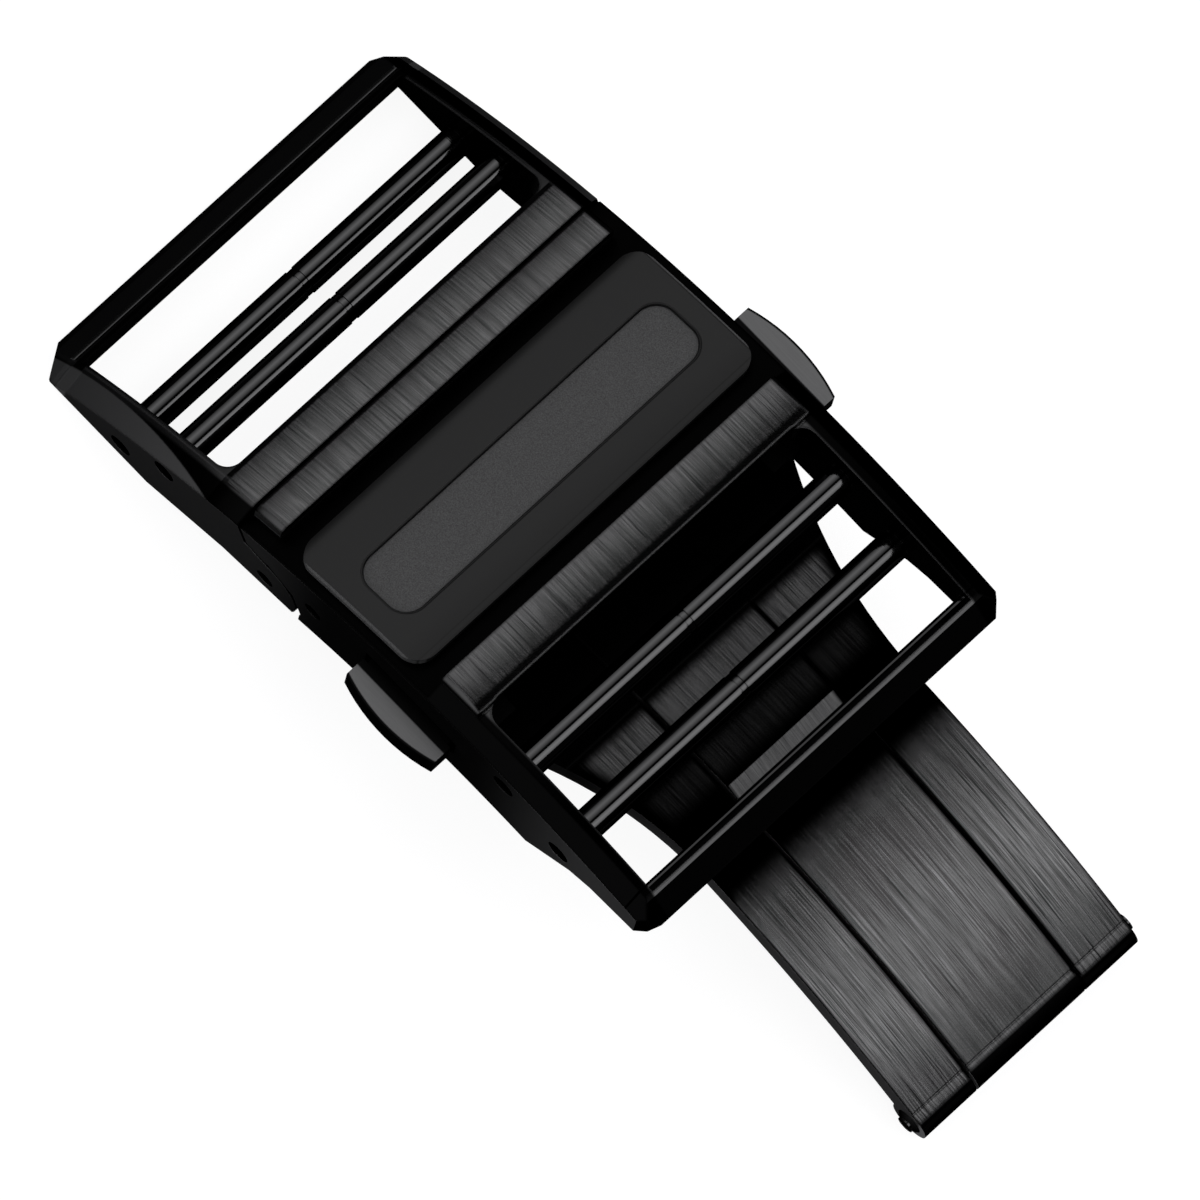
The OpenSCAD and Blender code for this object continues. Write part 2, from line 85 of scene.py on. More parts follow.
# %% [markdown]
# Shader nodes are easier to read as sums than as a pile of links.
# A Wire is one output of a node. It can be added, multiplied and compared like a number,
# and each sum adds the Math node that works it out. The reflected forms let 1 - mask work.

# %% One small class for shader sums
class Wire:
    def __init__(self, tree, socket):
        self.tree = tree
        self.socket = socket

    def math(self, operation, *values):
        return self.tree.node("ShaderNodeMath", {"operation": operation}, dict(enumerate(values)))

    def __add__(self, other):
        return self.math("ADD", self, other)

    def __sub__(self, other):
        return self.math("SUBTRACT", self, other)

    def __mul__(self, other):
        return self.math("MULTIPLY", self, other)

    def __rsub__(self, other):
        return self.math("SUBTRACT", other, self)

    def __pow__(self, power):
        return self.math("POWER", self, power)

    def __gt__(self, other):
        return self.math("GREATER_THAN", self, other)

    def __lt__(self, other):
        return self.math("LESS_THAN", self, other)

    __radd__ = __add__
    __rmul__ = __mul__

    def size(self):
        return self.math("ABSOLUTE", self)

    def at_least(self, other):
        return self.math("MAXIMUM", self, other)

    def at_most(self, other):
        return self.math("MINIMUM", self, other)

    def soft_step(self, start, end):
        """0 before start, 1 after end, and a smooth rise between them. Start may be the larger one."""
        settings = {"interpolation_type": "SMOOTHSTEP"}
        values = {"Value": self, "From Min": start, "From Max": end}
        return self.tree.node("ShaderNodeMapRange", settings, values)


print("a wire can:", [name for name, made in vars(Wire).items() if callable(made)])

# %% [markdown]
# A finish is a tree of nodes, and so is the light of a room. One method adds any node: it takes
# the node's type, its settings, and the values or wires of its sockets.

# %% A tree of nodes
BLUE_TRACE = 1.02


class Tree:
    def __init__(self, tree):
        self.tree = tree

    def feed(self, node, values):
        for key, value in values.items():
            socket = node.inputs[key]
            if isinstance(value, Wire):
                self.tree.links.new(value.socket, socket)
            else:
                socket.default_value = value

    def node(self, kind, settings, values, output=0):
        node = self.tree.nodes.new(kind)
        for key, value in settings.items():
            setattr(node, key, value)
        self.feed(node, values)
        return Wire(self, node.outputs[output])

    def grey(self, level):
        """A grey with a trace of blue, as the coating has."""
        return self.node("ShaderNodeCombineColor", {}, {0: level, 1: level, 2: level * BLUE_TRACE})


print("blue in a grey:", BLUE_TRACE)

# %% [markdown]
# On the real buckle the finish changes from face to face: a top is brushed, a flank is satin.
# It could be painted on an unwrapped picture, but here each finish asks two things of a point:
# where it lies at rest, and which way its face looks at rest. Both come from the piece's own
# coordinates, so the finish stays in place when the piece moves, and no picture is needed.

# %% A finish with one shader
class Finish(Tree):
    def __init__(self, name, **fixed):
        self.material = bpy.data.materials.new(name)
        self.material.use_nodes = True
        super().__init__(self.material.node_tree)
        self.shader = self.tree.nodes["Principled BSDF"]
        self.feed(self.shader, fixed)

    def show(self, **values):
        self.feed(self.shader, {key.replace("_", " "): value for key, value in values.items()})

    def place(self):
        """Where a point lies at rest, in millimetres: the whole vector, and its three numbers."""
        metres = self.node("ShaderNodeTexCoord", {}, {}, "Object")
        settings = {"operation": "SCALE"}
        vector = self.node("ShaderNodeVectorMath", settings, {0: metres, "Scale": 1 / MM})
        return vector, [self.node("ShaderNodeSeparateXYZ", {}, {0: vector}, axis) for axis in range(3)]

    def facing(self, axis):
        """How far the face at rest looks along one axis, from -1 to 1."""
        normal = self.node("ShaderNodeTexCoord", {}, {}, "Normal")
        return self.node("ShaderNodeSeparateXYZ", {}, {0: normal}, axis)

    def noise(self, place, stretch, scale=1.0, detail=2.0):
        """Noise whose grains are longer along the axes with a small stretch."""
        settings = {"operation": "MULTIPLY"}
        vector = self.node("ShaderNodeVectorMath", settings, {0: place, 1: stretch})
        values = {"Vector": vector, "Scale": scale, "Detail": detail}
        return self.node("ShaderNodeTexNoise", {}, values, "Fac")

    def bump(self, height, normal=None):
        """A normal bent by a height in millimetres."""
        values = {"Height": height, "Distance": MM, "Strength": 1.0}
        if normal is not None:
            values["Normal"] = normal
        return self.node("ShaderNodeBump", {}, values)


X, Y, Z = 0, 1, 2
EVEN = (1, 1, 1)
print("a finish can:", [name for name, made in vars(Finish).items() if callable(made)])

# %% [markdown]
# A mask is 1 on the faces of one look and 0 elsewhere, with a soft edge. All its lengths are in
# millimetres, on the frame of the CAD model. The cover, the frames and the plate follow arcs
# round one axis under the buckle, so the distance from that axis tells a deep face from a high one.
# The crowns of the brushed faces are too shallow to need geometry: their height bends the normal.

# %% Masks and crowns
MASK_EDGE = 0.08
ARCH_AXIS = (2.925, -38.1)
LOOKS_UP = (0.5, 0.7)


def between(value, low, high, soft=MASK_EDGE):
    return value.soft_step(low - soft, low + soft) * (1 - value.soft_step(high - soft, high + soft))


def top_band(x, y, rear, front, half_width, soft=MASK_EDGE):
    """The faces between two lines across the buckle, out to so far from its middle."""
    return between(x, rear, front, soft) * between(y, -half_width, half_width)


def from_arch_axis(x, z):
    return ((x - ARCH_AXIS[0]) ** 2 + (z - ARCH_AXIS[1]) ** 2) ** 0.5


def crowned(x, middle, half, radius, lean):
    """The height of a crown about a line across the buckle, level with the face past its ends."""
    away = (x - middle).at_least(-half).at_most(half)
    return (away * away) * (-0.5 / radius) - away * math.tan(math.radians(lean))


print("axis of the arch in mm:", ARCH_AXIS)

# %% [markdown]
# Brushing is noise drawn out along X: grains a few hundredths of a millimetre wide and some
# millimetres long, with broader bands over them. The same lines change the colour, the roughness
# and the normal a little, as real scratches do.

# %% Brush lines
LINE_STRETCH = (0.25, 20.0, 0.25)
LINE_DETAIL = 3.0
LINE_STRENGTH = 2.6
LINE_HEIGHT = 0.02
BAND_STRETCH = (0.1, 5.0, 0.1)
BAND_STRENGTH = 0.35


def brushing(finish, place, contrast):
    """The brush lines, and how light they and the bands make the coating, about 1."""
    lines = finish.noise(place, LINE_STRETCH, detail=LINE_DETAIL)
    bands = finish.noise(place, BAND_STRETCH)
    streak = ((lines - 0.5) * LINE_STRENGTH + (bands - 0.5) * BAND_STRENGTH) * contrast + 1.0
    return lines, streak


print("brush lines are", LINE_STRETCH[Y] / LINE_STRETCH[X], "times as long as wide")

# %% [markdown]
# The flanks are satin. Their colour is painted light at the rear, dark beside the cover's plate,
# and lightest in front: painted light and shade for the light that the real ones catch from the
# near side. Some bevels are satin too, painted lighter as a highlight, so a mask can add them.

# %% Satin flanks
SATIN = 0.065
LOOKS_OUT = (0.75, 0.9)
BEVEL_LOOKS_OUT = (0.4, 0.5)
FLANK_REAR_LIGHT = 1.8
FLANK_PAINTED_SHADE, FALL_ALONG = 1.5, (-15, -9)
FLANK_FRONT_LIGHT, RISE_ALONG = 3.7, (1, 11)


def satin_faces(finish, x, y, z, bevels):
    """The mask of the satin faces, and how light they are painted."""
    outward = finish.facing(Y) * ((y > 0) * 2.0 - 1.0)
    flank = outward.soft_step(*LOOKS_OUT)
    # Painted light and shade along X in the flanks' colour.
    along = FLANK_REAR_LIGHT - x.soft_step(*FALL_ALONG) * FLANK_PAINTED_SHADE + x.soft_step(*RISE_ALONG) * FLANK_FRONT_LIGHT
    satin = flank
    if bevels is not None:
        satin = flank.at_least(bevels(x, y, z) * outward.soft_step(*BEVEL_LOOKS_OUT))
    return satin, (flank * (along - 1) + 1) * SATIN


print("satin level:", SATIN, "at the rear:", SATIN * FLANK_REAR_LIGHT)

# %% [markdown]
# What is neither brushed nor satin is polished. A polished black face shows only what it mirrors,
# and beside the side walls that is the dark wall opposite, so there its colour gets painted shade,
# a painted reflection of that wall. The faces deep between other pieces get painted shade too: an
# almost black colour, where the real coating takes no light at all.
# The Bevel node rounds the shading of every edge, because a real edge is never sharp.

# %% Black coated steel
BRUSHED, POLISHED, PAINTED_SHADE = 0.056, 0.035, 0.001
BRUSHED_ROUGH, POLISHED_ROUGH, SATIN_ROUGH = 0.21, 0.12, 0.42
LINE_ROUGH, CLOUD_ROUGH = 0.2, 0.05
CLOUD_SCALE = 0.35
EDGE_TINT = (0.3, 0.3, 0.3, 1.0)
EASED_EDGE = 0.2
SIDE_SHADE_EDGE, SIDE_SHADE_DEPTH = (11.8, 12.0), 0.96
FRONT_FRAME, SIDE_SHADE_SOONER = (0.2, 0.4), 0.4


def coated_steel(
        name, brushed_faces, shaded_faces, contrast=1.0, crowns=(), ease=EASED_EDGE, bevels=None, shade=None):
    finish = Finish(name, Metallic=1.0)
    finish.shader.inputs["Specular Tint"].default_value = EDGE_TINT
    place, (x, y, z) = finish.place()
    lines, streak = brushing(finish, place, contrast)
    # Painted light and shade along the piece, where a shade is given.
    if shade is not None:
        streak = streak * shade(x, y)
    up = finish.facing(Z).soft_step(*LOOKS_UP)
    # Painted shade: the faces deep between other pieces, nearly black.
    painted_shade = shaded_faces(x, y, z)
    brushed = brushed_faces(x, y) * up * (1 - painted_shade)
    satin, satin_level = satin_faces(finish, x, y, z, bevels)
    polished = (1 - brushed) * (1 - satin) * (1 - painted_shade)
    # Painted shade beside the side walls, a painted reflection of the dark wall opposite.
    side = (y.size() + x.soft_step(*FRONT_FRAME) * SIDE_SHADE_SOONER).soft_step(*SIDE_SHADE_EDGE)
    cloud = finish.noise(place, EVEN, CLOUD_SCALE)
    level = brushed * streak * BRUSHED + satin * satin_level
    level = level + polished * (1 - side * SIDE_SHADE_DEPTH) * POLISHED + painted_shade * PAINTED_SHADE
    rough = brushed * ((lines - 0.5) * LINE_ROUGH + BRUSHED_ROUGH) + (satin + painted_shade) * SATIN_ROUGH
    rough = rough + polished * ((cloud - 0.5) * CLOUD_ROUGH + POLISHED_ROUGH)
    height = lines * brushed * LINE_HEIGHT
    for crown in crowns:
        height = height + crowned(x, *crown) * up
    eased = finish.node("ShaderNodeBevel", {"samples": 4}, {"Radius": ease * MM})
    finish.show(Base_Color=finish.grey(level), Roughness=rough, Normal=finish.bump(height, eased))
    return finish


print("levels:", {"brushed": BRUSHED, "satin": SATIN, "polished": POLISHED, "painted_shade": PAINTED_SHADE})

# %% [markdown]
# The rear frame is brushed on its crossbar alone. Its long side bevels are satin and painted lighter
# as a highlight: a lens-shaped part at the near side, a narrow band at the far one. The end bar's
# inner edge gets painted shade, nearly black, which takes out its highlight. A catch line is the
# thin light line along a bar's edge: a narrow crown that only leans.

# %% The rear strap frame
CROSSBAR = (-18.2, -16.2, 11.8)
END_BAR_SHADE = (-29.15, -28.5)
FRAME_RADIUS = 50.1
LENS_MIDDLE, LENS_WIDTH, LENS_TAPER = -27.0, 1.1, 0.0152
FAR_BAND_WIDTH = 0.45
BEVEL_EDGE = 0.06
CATCH_LINE = 1000
REAR_CROWNS = [
    (-17.3, 1.15, 6.5, 4.0),            # the crossbar
    (-29.4, 0.12, CATCH_LINE, 30),      # the end bar's inner edge
    (-30.62, 0.18, CATCH_LINE, 22),     # the end bar's outer edge
]


def crossbar_top(x, y):
    return top_band(x, y, *CROSSBAR)


# Painted shade on the end bar's inner edge.
def end_bar_shade(x, y, z):
    return between(x, *END_BAR_SHADE)


# Painted highlight: the satin bevels are lighter, a lens at the near side and a band at the far one.
def bevel_highlights(x, y, z):
    off_middle = x - LENS_MIDDLE
    lens = LENS_WIDTH - off_middle * off_middle * LENS_TAPER
    width = (y < 0) * lens + (y > 0) * FAR_BAND_WIDTH
    return (from_arch_axis(x, z) - FRAME_RADIUS - width).soft_step(BEVEL_EDGE, -BEVEL_EDGE)


rear_finish = coated_steel(
    "rear_frame_black", crossbar_top, end_bar_shade, crowns=REAR_CROWNS, bevels=bevel_highlights)
print("finish:", rear_finish.material.name, "crowns:", len(REAR_CROWNS))

# %% [markdown]
# The cover is brushed on its low ridge and on its tall ridge, both slightly crowned. The trough
# between them, where the plate lies, gets painted shade, so that the gap round the plate stays black.

# %% The front cover
LOW_RIDGE = (-15.9, -14.1, 11.6)
TALL_RIDGE = (-2.3, -0.25, 11.7, 0.2)
TROUGH_RADIUS, TROUGH_DEPTH, TROUGH_SOFT = 50.2, 0.04, 0.02
TROUGH_END = (-2.4, -2.3)
COVER_CROWNS = [
    (-15.0, 0.95, 5.5, 3.5),            # the low ridge
    (-1.05, 1.25, 11, -1.0),            # the tall ridge
    (13.12, 0.1, CATCH_LINE, -24),      # the front bar's edge
    (12.55, 0.06, CATCH_LINE, 73),      # a dark line beside it
]


def ridge_tops(x, y):
    return top_band(x, y, *LOW_RIDGE) + top_band(x, y, *TALL_RIDGE)


# Painted shade in the trough round the plate.
def trough(x, y, z):
    deep = between(
        from_arch_axis(x, z), TROUGH_RADIUS - TROUGH_DEPTH, TROUGH_RADIUS + TROUGH_DEPTH, TROUGH_SOFT)
    return deep * (1 - x.soft_step(*TROUGH_END))


cover_finish = coated_steel("cover_black", ridge_tops, trough, crowns=COVER_CROWNS)
print("finish:", cover_finish.material.name, "crowns:", len(COVER_CROWNS))

# %% [markdown]
# The blades are brushed wherever they come out from under the cover. Under it they get painted
# shade, as does the barrel at their end. The real ones are light between the bars above them and
# dark below each bar, and painted light and shade along X in their colour draws that.
# The blades also sag a little along their length, and a small hollow evens out the crease where
# they meet their barrel.

# %% Both blades
UNDER_COVER = (4.6, 4.9)
OUT_OF_COVER = (4.7, 4.9)
REAR_GAP, REAR_GAP_LIGHT = (5.2, 7.6, 0.4), 0.85
FRONT_GAP, FRONT_GAP_LIGHT = (8.3, 10.4, 0.6), 0.14
PAST_FRONT_BAR = (15.0, 17.2)
BLADE_EASE = 0.07
BLADE_CROWNS = [
    (20.8, 8.9, 140, 0.0),              # the long sag
    (29.915, 0.285, -1.36, 11.9),       # the hollow at the barrel
]


def blade_tops(x, y):
    return x.soft_step(*OUT_OF_COVER)


def shaded_blade_ends(barrel):
    """The faces of a blade with painted shade: what lies under the cover, and the barrel past a line."""
    return lambda x, y, z: (1 - x.soft_step(*UNDER_COVER)).at_least(x.soft_step(*barrel))


# Painted light and shade along X: light between the bars above, dark below them.
def light_along_blades(x):
    rear_gap = between(x, *REAR_GAP) * REAR_GAP_LIGHT
    front_gap = between(x, *FRONT_GAP) * FRONT_GAP_LIGHT
    return rear_gap + front_gap + x.soft_step(*PAST_FRONT_BAR)


print("blades show from x in mm:", OUT_OF_COVER[0])

# %% [markdown]
# The fork's arms flare to the rear along an arc. Their colour is painted darker towards that flared
# edge and towards the inner edge beside the tongue: painted shade where the real arms are slightly
# rounded.

# %% The fork's arms
ARM_HALF = 7.7
FLARE_START, FLARE_RADIUS = 13.825, 27.5
SLIM_PART = (13.5, 16.0)
EDGE_SHADE, SHADE_NARROWS = (0.3, 1.3), 1.1
INNER_EDGE = (4.05, 4.25)
ARM_BARREL = (30.1, 30.3)
ARM_CONTRAST = 1.7


# Painted shade at the arms' edges, on top of the painted light and shade along X.
def arm_shade(x, y):
    behind_neck = (x - FLARE_START).at_most(0.0)
    edge = ARM_HALF + FLARE_RADIUS - (FLARE_RADIUS ** 2 - behind_neck * behind_neck) ** 0.5
    slim = x.soft_step(*SLIM_PART)
    start, end = EDGE_SHADE
    outer = (edge - y.size()).soft_step((1 - slim) * start, end - slim * SHADE_NARROWS)
    return light_along_blades(x) * outer * y.size().soft_step(*INNER_EDGE)


arm_finish = coated_steel(
    "arm_black", blade_tops, shaded_blade_ends(ARM_BARREL), ARM_CONTRAST, BLADE_CROWNS, BLADE_EASE, shade=arm_shade)
print("finish:", arm_finish.material.name)

# %% [markdown]
# The tongue steps up over the fork's base plate. The step shows as a narrow bright strip across
# it, which leans towards the light and is painted brighter, a painted highlight. Like the arms, the
# tongue has painted shade at its edges.

# %% The tongue
TONGUE_EDGE = (3.62, 3.82)
STEP_HIGHLIGHT = (11.1, 11.9, 0.04)
STEP_LEAN = (11.5, 0.45, CATCH_LINE, -38)
TONGUE_BARREL = (29.8, 30.05)
TONGUE_CONTRAST = 1.2


# Painted light along X, a painted highlight on the step, and painted shade at the edges.
def tongue_shade(x, y):
    return (light_along_blades(x) + between(x, *STEP_HIGHLIGHT)) * (1 - y.size().soft_step(*TONGUE_EDGE))


tongue_finish = coated_steel(
    "tongue_black", blade_tops, shaded_blade_ends(TONGUE_BARREL), TONGUE_CONTRAST,
    BLADE_CROWNS + [STEP_LEAN], BLADE_EASE, shade=tongue_shade)
print("finish:", tongue_finish.material.name)

# %% [markdown]
# The plate is matt. Its sunk field is blasted: lighter, rougher and finely speckled, where the
# rest is smooth. The field lies lower than the plate's face, so its distance from the arch's
# axis tells the two apart. A border of painted shade runs round it, where the field steps down,
# and the field itself is plain.

# %% The sunk field of the plate and its border
PLATE_RADIUS = 50.9
FIELD_DEPTH = 0.18
FIELD_MIDDLE = -7.975
FIELD_HALF = (2.0, 10.95)
FIELD_CORNER = 1.3
BORDER_EDGE = (0.03, 0.1)
GRAIN_SCALE = 15.0
SPECKLE = 0.09

plate_finish = Finish("plate_matt_black", Metallic=0.0)
plate_finish.shader.inputs["Specular IOR Level"].default_value = 0.2
place, (x, y, z) = plate_finish.place()
field = from_arch_axis(x, z) < PLATE_RADIUS - FIELD_DEPTH / 2
grain = plate_finish.noise(place, EVEN, GRAIN_SCALE)
speckle = (grain - 0.5) * field * SPECKLE
over_x = ((x - FIELD_MIDDLE).size() - (FIELD_HALF[0] - FIELD_CORNER)).at_least(0.0)
over_y = (y.size() - (FIELD_HALF[1] - FIELD_CORNER)).at_least(0.0)
off_border = ((over_x ** 2 + over_y ** 2) ** 0.5 - FIELD_CORNER).size()
# Painted shade in a border round the field, where it steps down.
border = 1 - off_border.soft_step(*BORDER_EDGE)
print("field in mm:", 2 * FIELD_HALF[0], "by", 2 * FIELD_HALF[1])

# %% [markdown]
# The plate's front has a fine groove, painted as a dark line of shade, and both its long edges
# fall away, with painted shade where they do. The rear edge is rolled over a small radius, so its
# painted shade is darkest. Each of these is a fade along X.

# %% The two matt finishes of the plate
SMOOTH_LEVEL, FIELD_LIGHTER = 0.008, 0.042
GROOVE, GROOVE_SOFT = (-4.09, -4.01), 0.02
PAINTED_LINE_SHADE = 0.85
FRONT_FALLS = (-5.4, -4.1, 0.35)
REAR_FALLS = (-12.0, -12.75, 0.8)
FRONT_EDGE = (-3.82, -3.77, 0.9)
ROLL_START, ROLL_RADIUS = -12.3, 1.3
SMOOTH_ROUGH, FIELD_ROUGHER = 0.46, 0.12
GRAIN_HEIGHT, GRAIN_IN_FIELD, GRAIN_ON_PLATE = 0.006, 0.8, 0.2
BORDER_HEIGHT = 0.06


def faded(x, start, end, depth):
    return 1 - x.soft_step(start, end) * depth


# Painted shade in the groove.
groove = between(x, *GROOVE, GROOVE_SOFT)
# Painted shade where the plate's edges fall away, darkest at the rolled rear edge.
ends = faded(x, *FRONT_FALLS) * faded(x, *REAR_FALLS) * faded(x, *FRONT_EDGE)
level = (field * FIELD_LIGHTER + SMOOTH_LEVEL + speckle) * (1 - border * PAINTED_LINE_SHADE) * (1 - groove * PAINTED_LINE_SHADE)
past_roll = (x - ROLL_START).at_most(0.0)
rolled = past_roll * past_roll * (-0.5 / ROLL_RADIUS)
grain_height = grain * (field * GRAIN_IN_FIELD + GRAIN_ON_PLATE) * GRAIN_HEIGHT
plate_finish.show(
    Base_Color=plate_finish.grey(level * ends),
    Roughness=field * FIELD_ROUGHER + SMOOTH_ROUGH,
    Normal=plate_finish.bump(grain_height + rolled - border * BORDER_HEIGHT),
)
print("finish:", plate_finish.material.name)

# %% [markdown]
# The small turned pieces have the same coating, polished on the bars and pins and satin on the
# buttons. The springs are bare wire. Each gets faint turning marks, so none looks like plastic.

# %% Pins, bars and springs
RING_STRETCH = (0.6, 16.0, 0.6)
RING_HEIGHT = 0.0012
RING_ROUGH = 0.08
PAINTED_SHADE_SHARE = 0.03


def turned_steel(name, level, rough, mark=0.25, shown=None):
    finish = Finish(name, Metallic=1.0)
    finish.shader.inputs["Specular Tint"].default_value = EDGE_TINT
    place, (x, y, z) = finish.place()
    rings = finish.noise(place, RING_STRETCH)
    tone = ((rings - 0.5) * mark + 1) * level
    if shown is not None:
        # Painted shade: past the mask, only a small share of the level is left.
        tone = tone * (shown(x, y, finish.facing(Z)) * (1 - PAINTED_SHADE_SHARE) + PAINTED_SHADE_SHARE)
    rough = (rings - 0.5) * RING_ROUGH + rough
    finish.show(Base_Color=finish.grey(tone), Roughness=rough, Normal=finish.bump(rings * RING_HEIGHT))
    return finish


bar_finish = turned_steel("bar_polished_black", 0.04, 0.08, mark=0.1)
pin_finish = turned_steel("pin_polished_black", 0.04, 0.16)
spring_finish = turned_steel("bare_spring_wire", 0.45, 0.25)
print("turned finishes:", [f.material.name for f in (bar_finish, pin_finish, spring_finish)])

# %% [markdown]
# A push button shows the flat top of its bowed head. Everything past the top, its neck and the
# rim along its bow, is painted dark: painted shade of the cover's side opening.

# %% Push buttons
BOW_MIDDLE, BOW_RADIUS = (-3.225, 4.1375), 10.8125
NECK_EDGE = (13.66, 13.76)
RIM_EDGE = (0.08, 0.16)


def button_top(x, y, up):
    rim = BOW_RADIUS - ((x - BOW_MIDDLE[0]) ** 2 + (y.size() - BOW_MIDDLE[1]) ** 2) ** 0.5
    return y.size().soft_step(*NECK_EDGE) * rim.soft_step(*RIM_EDGE) * up.soft_step(*LOOKS_UP)


button_finish = turned_steel("button_satin_black", 0.13, 0.4, shown=button_top)
print("finish:", button_finish.material.name)

# %% [markdown]
# Now each solid takes its finish. The first word of this list that stands in the piece's name
# picks it, so a bar's spring is a spring before it is a bar.

# %% Finish of each piece
FINISHES = [
    ("spring", spring_finish), ("push_button", button_finish), ("hinge_pin", pin_finish),
    ("strap_bar", bar_finish), ("rear_strap_frame", rear_finish), ("front_cover_frame", cover_finish),
    ("cover_plate", plate_finish), ("outer_blade", arm_finish), ("inner_blade", tongue_finish),
]
for name, piece in nodes.items():
    finish = next(finish for word, finish in FINISHES if word in name)
    piece.data.materials.clear()
    piece.data.materials.append(finish.material)
print("pieces with a finish:", len(nodes))

# %% [markdown]
# A spring gets shorter as its button or tip is pressed in. Here each one is shown by a copy of its
# own coil, hung on the parent body of its joint, and the solid from the CAD model is hidden. A strap
# bar's spring is pressed from both ends, so its coil is cut at its middle and the cut is closed;
# each half is hung on its own joint's parent.

# %% Spring coils
WELD = 0.004


def pressed_half(node, joint, fixed_end):
    """The mesh of the part of a spring that lies on its joint's side of the fixed end."""
    mesh = nodes[node].data.copy()
    half = bmesh.new()
    half.from_mesh(mesh)
    everything = half.verts[:] + half.edges[:] + half.faces[:]
    cut = {"plane_co": (0, fixed_end, 0), "plane_no": (0, joint["axis"][Y], 0), "clear_outer": True}
    bmesh.ops.bisect_plane(half, geom=everything, **cut)
    bmesh.ops.remove_doubles(half, verts=half.verts, dist=WELD * MM)
    bmesh.ops.holes_fill(half, edges=[edge for edge in half.edges if edge.is_boundary])
    half.to_mesh(mesh)
    half.free()
    return mesh


def shortening_coil(node, joint, fixed_end):
    mesh = pressed_half(node, joint, fixed_end)
    piece = bpy.data.objects.new(joint["name"].replace("press", "spring_coil"), mesh)
    bpy.context.scene.collection.objects.link(piece)
    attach(piece, joint["parent"])
    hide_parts(node)
    reach = max(abs(corner.co[Y] - fixed_end) for corner in mesh.vertices)
    keep = 1 - joint["range_m"][1] / reach
    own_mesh(piece)
    return piece.name, round(reach / MM, 2)


coils = [
    shortening_coil(entry["node"], joint, entry["fixed_end_y_m"])
    for joint in frame["joints"] for entry in joint.get("deforming_nodes") or []
]
print("coils and their lengths in mm:", coils)

# %% [markdown]
# The floor is plain. The camera sees it as white light, so no lamp has to burn it out, and
# a share of its own shading keeps the soft shadow. The polished faces see it dark, as the real
# ones mirror a dark studio, which keeps the undersides and the flanks of the buckle black.

# %% Floor
FLOOR_HALF = 3.0
FLOOR_DROP = 0.02
SHADOW_SHARE = 0.2
WHITE_STRENGTH = 1.13
FLOOR_LEVEL, MIRRORED_DARKER = 0.85, 0.8

floor_z = cad_box[0][2] - FLOOR_DROP * MM
floor_mesh = bpy.data.meshes.new("floor")
corners = [(a * FLOOR_HALF, b * FLOOR_HALF, floor_z) for a, b in ((-1, -1), (1, -1), (1, 1), (-1, 1))]
floor_mesh.from_pydata(corners, [], [(0, 1, 2, 3)])
floor = bpy.data.objects.new("floor", floor_mesh)
bpy.context.scene.collection.objects.link(floor)

paper = Finish("white_floor", Roughness=0.9)
camera_ray, glossy_ray = [
    paper.node("ShaderNodeLightPath", {}, {}, kind) for kind in ("Is Camera Ray", "Is Glossy Ray")]
paper.show(Base_Color=paper.grey(FLOOR_LEVEL - glossy_ray * MIRRORED_DARKER))
white = paper.node("ShaderNodeEmission", {}, {"Color": (1, 1, 1, 1), "Strength": WHITE_STRENGTH})
shaded = Wire(paper, paper.shader.outputs[0])
mix = paper.node("ShaderNodeMixShader", {}, {0: camera_ray * (1 - SHADOW_SHARE), 1: shaded, 2: white})
paper.tree.links.new(mix.socket, paper.tree.nodes["Material Output"].inputs["Surface"])
floor_mesh.materials.append(paper.material)
print("floor at", round(floor_z / MM, 3), "mm")

# %% [markdown]
# Black steel shows its shape only by what it mirrors. Two soft boxes stand left and right of the
# camera with a dark gap between them, which draws two bright streaks along each round bar.
# Dim cards at both sides light the flanks. Each box is placed by the way that a face turned by a
# known angle about Y mirrors the camera's view, and its spread gives it a hot middle.

# %% Lamps
AIM = Vector((-1.575, 0, 0.3)) * MM
TO_CAMERA = Vector((0.1271, -0.226, 0.9657)).normalized()
ALL_ROUND = 180


def mirrored_way(tilt):
    """Where a face tilted forward by so many degrees sends the camera's view."""
    normal = Vector((math.sin(math.radians(tilt)), 0, math.cos(math.radians(tilt))))
    return (2 * normal.dot(TO_CAMERA) * normal - TO_CAMERA).normalized()


def soft_box(name, way, distance, along, wide, radiance, spread=ALL_ROUND):
    data = bpy.data.lights.new(name, "AREA")
    data.shape = "RECTANGLE"
    data.size = along
    data.size_y = wide
    data.energy = radiance * math.pi * along * wide
    data.spread = math.radians(spread)
    lamp = bpy.data.objects.new(name, data)
    back = way.normalized()
    side = Vector((0, 1, 0)).cross(back).normalized()
    turn = Matrix((side, back.cross(side), back)).transposed().to_4x4()
    lamp.matrix_world = Matrix.Translation(AIM + back * distance) @ turn
    bpy.context.scene.collection.objects.link(lamp)
    print(name, [round(v, 3) for v in lamp.location], "radiance", radiance)


soft_box("rear_box", mirrored_way(-11), 0.6, along=0.72, wide=0.9, radiance=0.28, spread=67)
soft_box("front_box", mirrored_way(21), 0.6, along=0.38, wide=0.8, radiance=0.5, spread=70)
soft_box("near_card", Vector((-0.25, -0.95, 0.2)), 0.7, along=1.2, wide=0.5, radiance=1.15)
soft_box("far_card", Vector((-0.1, 0.95, 0.12)), 0.7, along=0.8, wide=0.3, radiance=0.5)

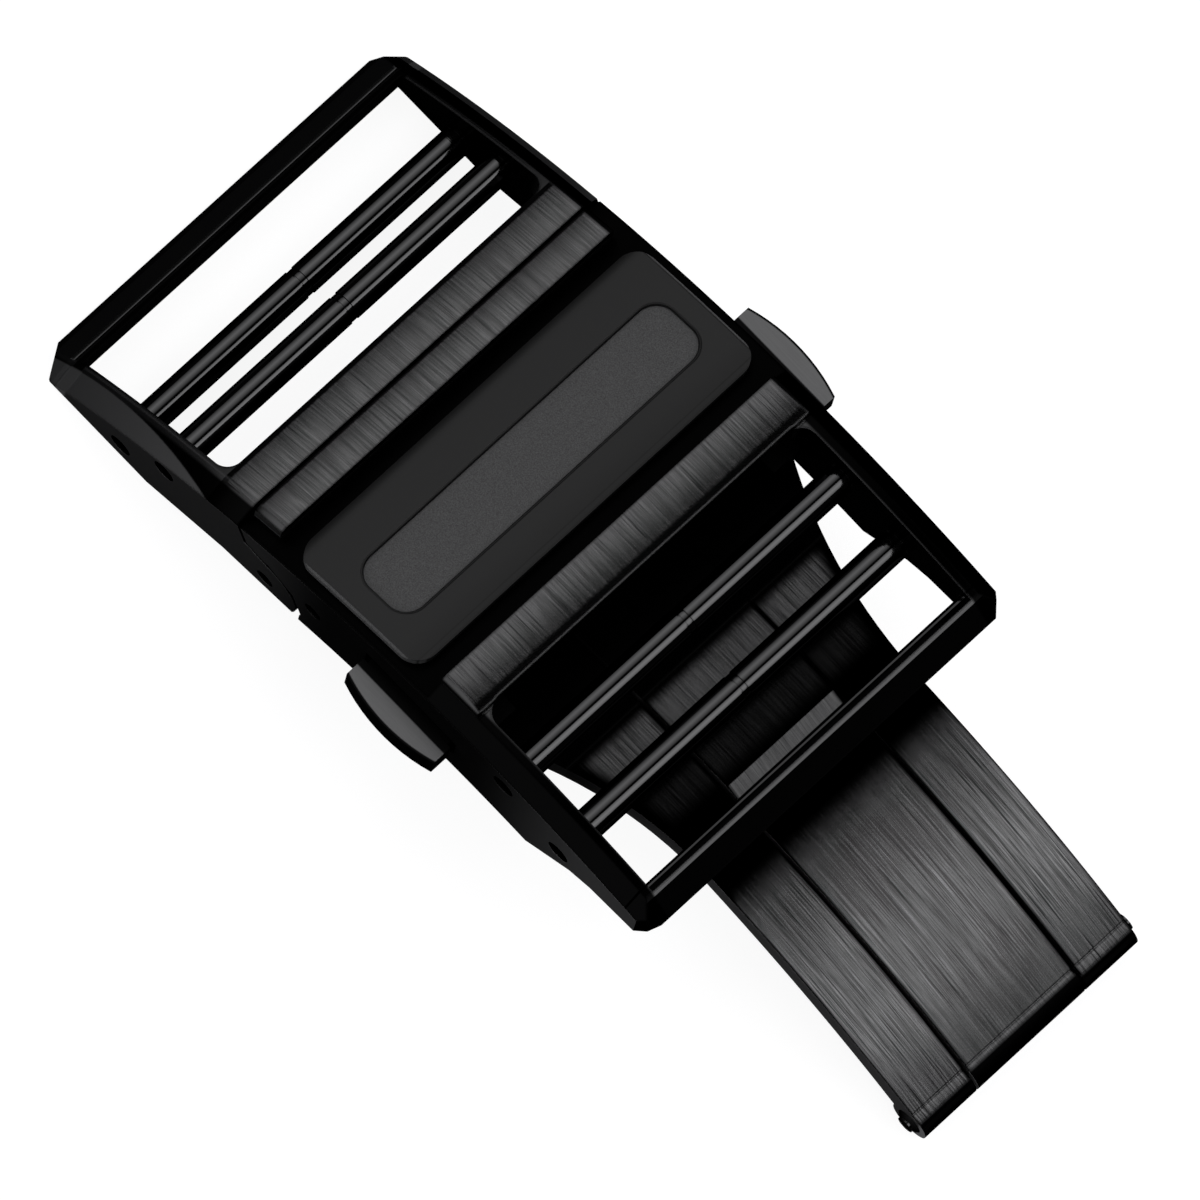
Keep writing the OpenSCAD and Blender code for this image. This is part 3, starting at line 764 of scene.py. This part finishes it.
# %% [markdown]
# The room is dim, with a ring of glow above the horizon, so that the buckle can be read from its
# sides and from behind. All faces that turn about Y alone mirror directions with one Y to the
# camera: the camera's own, with its sign turned. The ring has a gap there, so that those faces
# stay black in the main view, where the real ones do.

# %% The dim room
GLOW, DARK_AIR = 0.7, 0.02
RING_BOTTOM, RING_TOP = (0.02, 0.12), (0.7, 0.58)
GAP_MIDDLE, GAP_EDGE = 0.226, (0.14, 0.26)

room = bpy.data.worlds.new("dim_room")
room.use_nodes = True
air = Tree(room.node_tree)
ray = air.node("ShaderNodeTexCoord", {}, {}, "Generated")
ray_y, ray_z = [air.node("ShaderNodeSeparateXYZ", {}, {0: ray}, axis) for axis in (Y, Z)]
ring = ray_z.soft_step(*RING_BOTTOM) * ray_z.soft_step(*RING_TOP)
glow = ring * (ray_y - GAP_MIDDLE).size().soft_step(*GAP_EDGE) * GLOW + DARK_AIR
air.feed(room.node_tree.nodes["Background"], {"Color": air.grey(glow), "Strength": 1.0})
bpy.context.scene.world = room
print("room:", room.name, "glow", GLOW)

# %% [markdown]
# The photograph was taken from far away with a long lens, so its lines hardly converge.
# The camera stands 1.5 m off, rolled so that the strap runs down to the right.

# %% Camera
DISTANCE = 1.5
SENSOR = 36.0
SHOWN_WIDTH = 62.5 * MM
IMAGE_RIGHT = Vector((0.6904, 0.7193, 0.0774))

lens = bpy.data.cameras.new("camera")
lens.sensor_fit = "HORIZONTAL"
lens.sensor_width = SENSOR
lens.lens = SENSOR * DISTANCE / SHOWN_WIDTH
camera = bpy.data.objects.new("camera", lens)
right = (IMAGE_RIGHT - IMAGE_RIGHT.dot(TO_CAMERA) * TO_CAMERA).normalized()
turn = Matrix((right, TO_CAMERA.cross(right), TO_CAMERA)).transposed().to_4x4()
camera.matrix_world = Matrix.Translation(AIM + TO_CAMERA * DISTANCE) @ turn
bpy.context.scene.collection.objects.link(camera)
bpy.context.scene.camera = camera
bpy.context.scene.view_settings.view_transform = "Standard"
print("lens in mm:", round(lens.lens, 1))

# %% [markdown]
